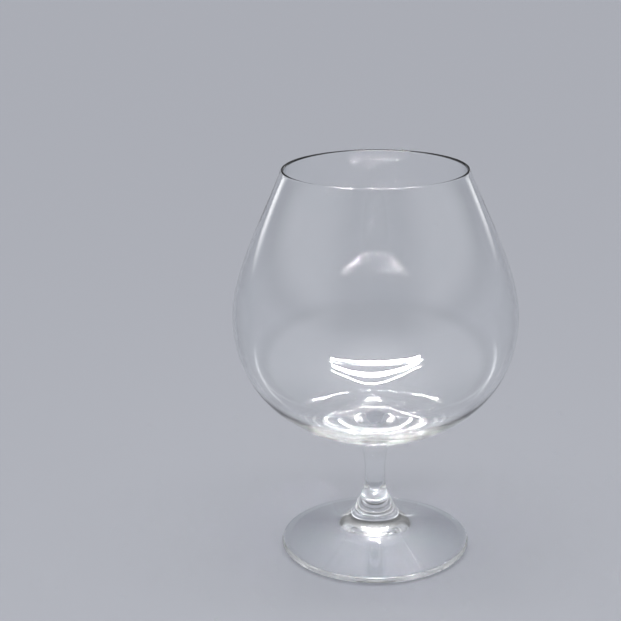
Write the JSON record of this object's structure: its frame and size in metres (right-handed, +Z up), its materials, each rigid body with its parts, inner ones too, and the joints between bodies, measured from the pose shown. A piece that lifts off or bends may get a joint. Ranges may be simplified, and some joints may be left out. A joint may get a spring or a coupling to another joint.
{
  "type": "brandy snifter",
  "caption": "Stemmed drinking glass: a wide balloon bowl that narrows to its mouth, a short flared stem and a round foot, all in clear glass.",
  "frame": {"origin": "on the table plane, under the middle of the foot", "axes": "+Z up along the axis that every piece is turned about, +X to the right and +Y away in the picture"},
  "size_m": [0.111, 0.111, 0.155],
  "materials": {
    "bowl_glass": "clear, colourless, fire polished",
    "stem_glass": "clear, colourless, fire polished",
    "foot_glass": "clear, colourless, fire polished"
  },
  "bodies": {
    "root": {"bowl": "bowl_glass", "stem": "stem_glass", "foot": "foot_glass"}
  },
  "joints": []
}
